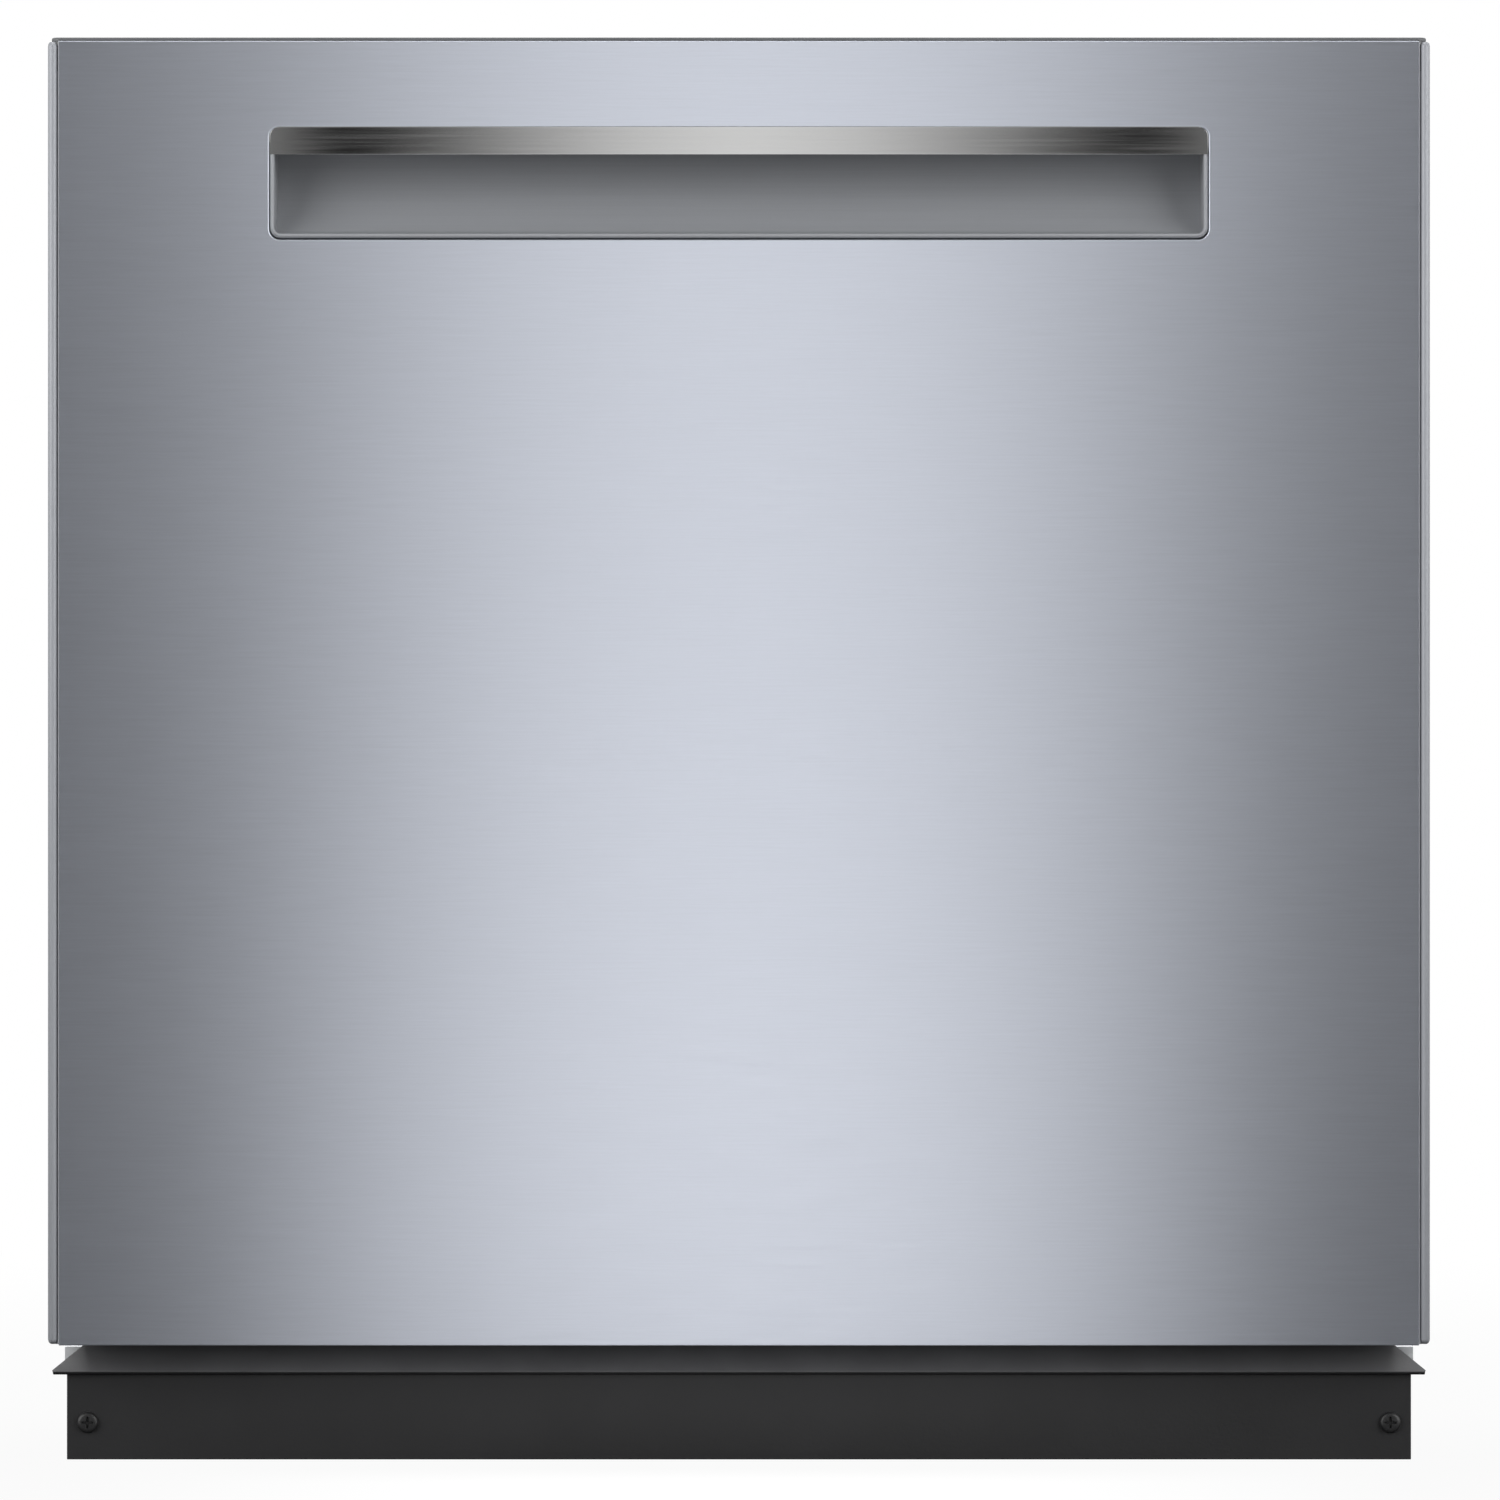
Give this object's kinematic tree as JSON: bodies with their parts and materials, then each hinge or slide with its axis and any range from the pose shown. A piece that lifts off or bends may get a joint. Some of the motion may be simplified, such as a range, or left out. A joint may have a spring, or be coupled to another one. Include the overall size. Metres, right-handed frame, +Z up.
{
  "type": "built-in dishwasher",
  "caption": "Built-in dishwasher with a full stainless door, recessed pocket handle, top-edge controls, slotted toe kick, wire racks and spray arms inside.",
  "frame": {"origin": "on the floor under the middle of the machine's overall box", "axes": "+Z up, +X to the right seen from the front, the door faces -Y and the services are at +Y"},
  "size_m": [0.598, 0.573, 0.618],
  "materials": {
    "stainless_brushed": "horizontally brushed stainless steel",
    "stainless_bright": "polished stainless steel",
    "stainless_tub": "satin rolled stainless steel",
    "galvanised": "galvanised sheet steel",
    "base_plastic": "black moulded polypropylene",
    "kick_black": "black powder-coated sheet",
    "screw_black": "blackened steel",
    "fascia_black": "black satin fascia plastic",
    "lens_dark": "dark clear display lens",
    "button_grey": "silver-grey button plastic",
    "grey_plastic": "grey polypropylene",
    "light_plastic": "light grey polypropylene",
    "rubber_seal": "dark EPDM seal",
    "bitumen": "black bitumen sound-deadening mat",
    "coated_wire": "grey nylon-coated steel wire",
    "spring_steel": "zinc-plated spring steel",
    "steel_zinc": "zinc-plated steel"
  },
  "bodies": {
    "cabinet": {"tub_shell": "stainless_tub", "tub_front_frame": "stainless_tub", "tub_gasket": "rubber_seal", "side_panel_left": "galvanised", "side_panel_right": "galvanised", "back_panel": "galvanised", "top_sound_mat": "bitumen", "base_tray": "base_plastic", "toe_kick": "kick_black", "toe_kick_screws": "screw_black", "hinge_brackets": "steel_zinc", "countertop_brackets": "steel_zinc", "latch_strike": "steel_zinc", "sump_bowl": "grey_plastic", "fine_filter_plate": "stainless_tub", "circulation_pump": "base_plastic", "drain_pump": "light_plastic", "inlet_valve": "light_plastic", "junction_box": "galvanised", "water_conduit": "grey_plastic", "ceiling_sprinkler": "grey_plastic", "fixed_rails": "steel_zinc", "door_springs": "spring_steel"},
    "door": {"door_outer_panel": "stainless_brushed", "handle_pocket": "stainless_brushed", "handle_grip_lip": "stainless_bright", "door_inner_liner": "stainless_tub", "control_strip": "fascia_black", "display_window": "lens_dark", "control_module": "light_plastic", "dispenser_body": "light_plastic", "hinge_arms": "steel_zinc", "door_screws": "steel_zinc"},
    "detergent_lid": {"dispenser_lid": "grey_plastic"},
    "rinse_cap": {"rinse_aid_cap": "grey_plastic"},
    "catch": {"latch_pawl": "steel_zinc"},
    "lower_basket": {"lower_rack": "coated_wire", "silverware_basket": "light_plastic"},
    "folding_tines": {"fold_tines": "coated_wire"},
    "upper_basket": {"upper_rack": "coated_wire", "upper_rack_runners": "steel_zinc", "upper_arm_feed": "grey_plastic"},
    "rail_middle": {"middle_rails": "steel_zinc"},
    "folding_shelf": {"cup_shelf": "coated_wire"},
    "upper_arm": {"upper_spray_arm": "grey_plastic"},
    "lower_arm": {"lower_spray_arm": "grey_plastic"},
    "filter": {"filter_cylinder": "light_plastic"},
    "key_power": {"button_power": "button_grey"},
    "key_programme": {"button_programme": "button_grey"},
    "key_half_load": {"button_half_load": "button_grey"},
    "key_drying": {"button_drying": "button_grey"},
    "key_start": {"button_start": "button_grey"},
    "wheel_front_left": {"wheel_front_left": "light_plastic"},
    "wheel_rear_left": {"wheel_rear_left": "light_plastic"},
    "wheel_front_right": {"wheel_front_right": "light_plastic"},
    "wheel_rear_right": {"wheel_rear_right": "light_plastic"},
    "foot_front_left": {"foot_front_left": "steel_zinc"},
    "foot_rear_left": {"foot_rear_left": "steel_zinc"},
    "foot_front_right": {"foot_front_right": "steel_zinc"},
    "foot_rear_right": {"foot_rear_right": "steel_zinc"}
  },
  "joints": [
    {"name": "door_hinge", "type": "hinge", "parent": "cabinet", "child": "door", "pos_m": [0, -0.272, 0.066], "axis": [1, 0, 0], "range_deg": [0, 90], "deforming": ["door_springs"]},
    {"name": "lower_rack_slide", "type": "slide", "parent": "cabinet", "child": "lower_basket", "axis": [0, -1, 0], "range_m": [0, 0.206]},
    {"name": "upper_rack_slide", "type": "slide", "parent": "cabinet", "child": "upper_basket", "axis": [0, -1, 0], "range_m": [0, 0.381]},
    {"name": "middle_rail_slide", "type": "slide", "parent": "cabinet", "child": "rail_middle", "axis": [0, -1, 0], "range_m": [0, 0.191]},
    {"name": "lower_arm_spin", "type": "hinge", "parent": "cabinet", "child": "lower_arm", "pos_m": [0, 0.015, 0.128], "axis": [0, 0, 1], "continuous": true},
    {"name": "upper_arm_spin", "type": "hinge", "parent": "upper_basket", "child": "upper_arm", "pos_m": [0, 0.015, 0.43], "axis": [0, 0, 1], "continuous": true},
    {"name": "filter_twist", "type": "hinge", "parent": "cabinet", "child": "filter", "pos_m": [0.046, -0.02, 0.1], "axis": [0, 0, 1], "range_deg": [0, 90]},
    {"name": "detergent_lid_hinge", "type": "hinge", "parent": "door", "child": "detergent_lid", "pos_m": [-0.056, -0.2316, 0.3064], "axis": [-1, 0, 0], "range_deg": [0, 90]},
    {"name": "rinse_cap_twist", "type": "hinge", "parent": "door", "child": "rinse_cap", "pos_m": [0.022, -0.232, 0.352], "axis": [0, 1, 0], "range_deg": [0, 90]},
    {"name": "catch_pivot", "type": "hinge", "parent": "door", "child": "catch", "pos_m": [0, -0.2546, 0.589], "axis": [1, 0, 0], "range_deg": [0, 14], "stiffness_Nm_per_rad": 0.05},
    {"name": "tines_fold", "type": "hinge", "parent": "lower_basket", "child": "folding_tines", "pos_m": [0, 0.02, 0.174], "axis": [-1, 0, 0], "range_deg": [0, 78]},
    {"name": "shelf_fold", "type": "hinge", "parent": "upper_basket", "child": "folding_shelf", "pos_m": [-0.238, 0, 0.5], "axis": [0, -1, 0], "range_deg": [0, 80]},
    {"name": "power_press", "type": "slide", "parent": "door", "child": "key_power", "axis": [0, 0, -1], "range_m": [0, 0.0012], "stiffness_N_per_m": 300},
    {"name": "programme_press", "type": "slide", "parent": "door", "child": "key_programme", "axis": [0, 0, -1], "range_m": [0, 0.0012], "stiffness_N_per_m": 300},
    {"name": "half_load_press", "type": "slide", "parent": "door", "child": "key_half_load", "axis": [0, 0, -1], "range_m": [0, 0.0012], "stiffness_N_per_m": 300},
    {"name": "drying_press", "type": "slide", "parent": "door", "child": "key_drying", "axis": [0, 0, -1], "range_m": [0, 0.0012], "stiffness_N_per_m": 300},
    {"name": "start_press", "type": "slide", "parent": "door", "child": "key_start", "axis": [0, 0, -1], "range_m": [0, 0.0012], "stiffness_N_per_m": 300},
    {"name": "wheel_front_left_roll", "type": "hinge", "parent": "lower_basket", "child": "wheel_front_left", "pos_m": [-0.2425, -0.095, 0.128], "axis": [1, 0, 0], "range_deg": [0, 540]},
    {"name": "wheel_rear_left_roll", "type": "hinge", "parent": "lower_basket", "child": "wheel_rear_left", "pos_m": [-0.2425, 0.165, 0.128], "axis": [1, 0, 0], "range_deg": [0, 540]},
    {"name": "wheel_front_right_roll", "type": "hinge", "parent": "lower_basket", "child": "wheel_front_right", "pos_m": [0.2425, -0.095, 0.128], "axis": [1, 0, 0], "range_deg": [0, 540]},
    {"name": "wheel_rear_right_roll", "type": "hinge", "parent": "lower_basket", "child": "wheel_rear_right", "pos_m": [0.2425, 0.165, 0.128], "axis": [1, 0, 0], "range_deg": [0, 540]},
    {"name": "foot_front_left_adjust", "type": "slide", "parent": "cabinet", "child": "foot_front_left", "axis": [0, 0, -1], "range_m": [0, 0.025]},
    {"name": "foot_rear_left_adjust", "type": "slide", "parent": "cabinet", "child": "foot_rear_left", "axis": [0, 0, -1], "range_m": [0, 0.025]},
    {"name": "foot_front_right_adjust", "type": "slide", "parent": "cabinet", "child": "foot_front_right", "axis": [0, 0, -1], "range_m": [0, 0.025]},
    {"name": "foot_rear_right_adjust", "type": "slide", "parent": "cabinet", "child": "foot_rear_right", "axis": [0, 0, -1], "range_m": [0, 0.025]}
  ],
  "couplings": [
    {"joint": "lower_rack_slide", "follows": "door_hinge", "m_per_rad": 0.13051},
    {"joint": "upper_rack_slide", "follows": "door_hinge", "m_per_rad": 0.24192},
    {"joint": "middle_rail_slide", "follows": "door_hinge", "m_per_rad": 0.12096},
    {"joint": "wheel_front_left_roll", "follows": "door_hinge", "ratio": 5.9321},
    {"joint": "wheel_rear_left_roll", "follows": "door_hinge", "ratio": 5.9321},
    {"joint": "wheel_front_right_roll", "follows": "door_hinge", "ratio": 5.9321},
    {"joint": "wheel_rear_right_roll", "follows": "door_hinge", "ratio": 5.9321}
  ]
}
